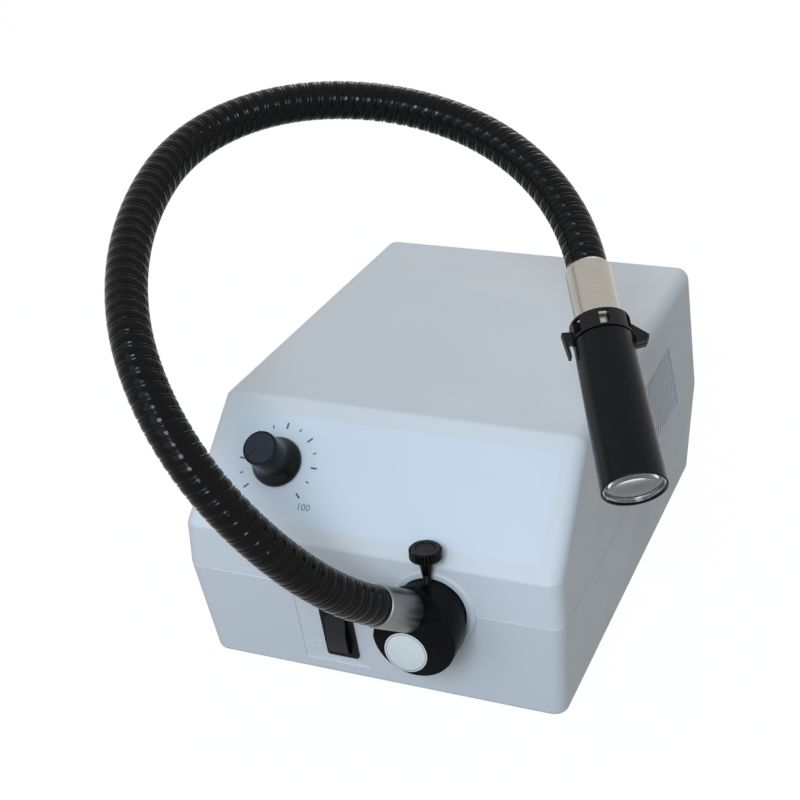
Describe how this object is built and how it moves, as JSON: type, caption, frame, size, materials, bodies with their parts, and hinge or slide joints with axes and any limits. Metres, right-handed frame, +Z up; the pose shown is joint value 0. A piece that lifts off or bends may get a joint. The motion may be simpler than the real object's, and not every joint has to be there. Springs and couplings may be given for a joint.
{
  "type": "fiber optic illuminator",
  "caption": "Bench light source in a two-shell case with dimmer knob, rocker switch and a self-supporting gooseneck light guide ending in a focusing head.",
  "frame": {"origin": "centre of the case's underside, above which the feet stand 3 mm lower", "axes": "+X to the right seen from the front, +Y to the rear, +Z up"},
  "size_m": [0.2061, 0.3029, 0.2264],
  "materials": {
    "case_plastic": "fine moulded texture",
    "rubber": "matt",
    "zinc_screw": "zinc plated",
    "panel_film": "satin printed film",
    "black_plastic": "satin",
    "white_plastic": "smooth",
    "circuit_board": "solder mask",
    "copper": "enamelled wire",
    "ferrite": "sintered",
    "can_film": "sleeved can",
    "aluminium": "extruded",
    "anodised": "black anodised",
    "lens_glass": "polished",
    "emitter": "phosphor under silicone",
    "steel": "satin",
    "polished_steel": "polished",
    "knurled_black": "blackened",
    "gooseneck": "glossy vinyl over a wound conduit",
    "fibre": "polished fibre ends",
    "paper": "printed paper",
    "nylon": "moulded",
    "brass": "tinned brass",
    "wire": "insulated wire"
  },
  "bodies": {
    "case": {"lower_shell": "case_plastic", "upper_shell": "case_plastic", "rubber_feet": "rubber", "case_screws": "zinc_screw", "front_film": "panel_film", "dimmer_pot": "aluminium", "pot_nut": "zinc_screw", "driver_board": "circuit_board", "rocker_bezel": "black_plastic", "switch_terminals": "brass", "nose_bezel": "white_plastic", "nosepiece": "anodised", "lens_barrel": "anodised", "condenser_lens": "lens_glass", "led_board": "aluminium", "led_emitter": "emitter", "heat_sink": "aluminium", "fan_frame": "black_plastic", "fan_screws": "zinc_screw", "power_board": "circuit_board", "board_screws": "zinc_screw", "transformer_core": "ferrite", "transformer_winding": "copper", "capacitors": "can_film", "inlet_body": "black_plastic", "inlet_pins": "brass", "inlet_screws": "zinc_screw", "mains_wires": "wire", "switch_wires": "wire", "led_wires": "wire", "fan_wires": "wire", "dimmer_wires": "wire"},
    "dimmer_knob": {"knob": "black_plastic", "knob_cap": "black_plastic", "pot_shaft": "steel"},
    "power_rocker": {"rocker": "black_plastic"},
    "thumbscrew": {"thumbscrew_head": "knurled_black", "thumbscrew_shank": "knurled_black"},
    "fan": {"fan_rotor": "black_plastic"},
    "fuse_carrier": {"fuse_drawer": "black_plastic", "fuse": "lens_glass"},
    "guide_input": {"guide_sleeve": "steel", "bundle_input": "fibre"},
    "neck_1": {"guide_plug": "black_plastic", "plug_label": "paper", "base_ferrule": "steel", "neck_span_1": "gooseneck"},
    "neck_2": {"neck_span_2": "gooseneck"},
    "neck_3": {"neck_span_3": "gooseneck"},
    "neck_4": {"neck_span_4": "gooseneck"},
    "neck_5": {"neck_span_5": "gooseneck"},
    "neck_6": {"neck_span_6": "gooseneck", "tip_ferrule": "polished_steel", "bundle_output": "fibre"},
    "focus_head": {"head_barrel": "anodised", "clamp_ring": "nylon", "rear_lens": "lens_glass", "lens_spacer": "anodised", "front_lens": "lens_glass", "lens_ring": "polished_steel"}
  },
  "joints": [
    {"name": "knob_turn", "type": "hinge", "parent": "case", "child": "dimmer_knob", "pos_m": [-0.0439, -0.08993, 0.08804], "axis": [0, 0.6966, -0.7174], "range_deg": [0, 270]},
    {"name": "rocker_tip", "type": "hinge", "parent": "case", "child": "power_rocker", "pos_m": [-0.01515, -0.10317, 0.02491], "axis": [1, 0, 0], "range_deg": [0, 17]},
    {"name": "thumbscrew_turn", "type": "hinge", "parent": "case", "child": "thumbscrew", "pos_m": [0.028, -0.1155, 0.0733], "axis": [0, 0, 1], "range_deg": [0, 720]},
    {"name": "fan_spin", "type": "hinge", "parent": "case", "child": "fan", "pos_m": [0.028, 0, 0.0475], "axis": [0, 1, 0], "continuous": true},
    {"name": "fuse_drawer_pull", "type": "slide", "parent": "case", "child": "fuse_carrier", "axis": [0, 1, 0], "range_m": [0, 0.018]},
    {"name": "guide_pull", "type": "slide", "parent": "case", "child": "guide_input", "axis": [0, -1, 0], "range_m": [0, 0.025]},
    {"name": "guide_swivel", "type": "hinge", "parent": "guide_input", "child": "neck_1", "pos_m": [0.028, -0.1116, 0.0475], "axis": [0, -1, 0], "range_deg": [-35, 35]},
    {"name": "neck_bend_1", "type": "hinge", "parent": "neck_1", "child": "neck_2", "pos_m": [-0.01534, -0.17899, 0.12156], "axis": [-0.7808, -0.092, -0.618], "range_deg": [-20, 12]},
    {"name": "neck_bend_2", "type": "hinge", "parent": "neck_2", "child": "neck_3", "pos_m": [-0.05978, -0.15499, 0.17413], "axis": [-0.4972, 0.2524, -0.8301], "range_deg": [-20, 12]},
    {"name": "neck_bend_3", "type": "hinge", "parent": "neck_3", "child": "neck_4", "pos_m": [-0.07922, -0.09026, 0.20545], "axis": [-0.2876, 0.2824, -0.9152], "range_deg": [-20, 12]},
    {"name": "neck_bend_4", "type": "hinge", "parent": "neck_4", "child": "neck_5", "pos_m": [-0.04803, -0.02544, 0.21565], "axis": [-0.2346, 0.2142, -0.9482], "range_deg": [-20, 12]},
    {"name": "neck_bend_5", "type": "hinge", "parent": "neck_5", "child": "neck_6", "pos_m": [0.02159, -0.01277, 0.20129], "axis": [-0.0792, 0.544, -0.8354], "range_deg": [-20, 12]},
    {"name": "head_focus", "type": "slide", "parent": "neck_6", "child": "focus_head", "axis": [0.3931, -0.753, -0.5276], "range_m": [-0.003, 0.008]}
  ]
}
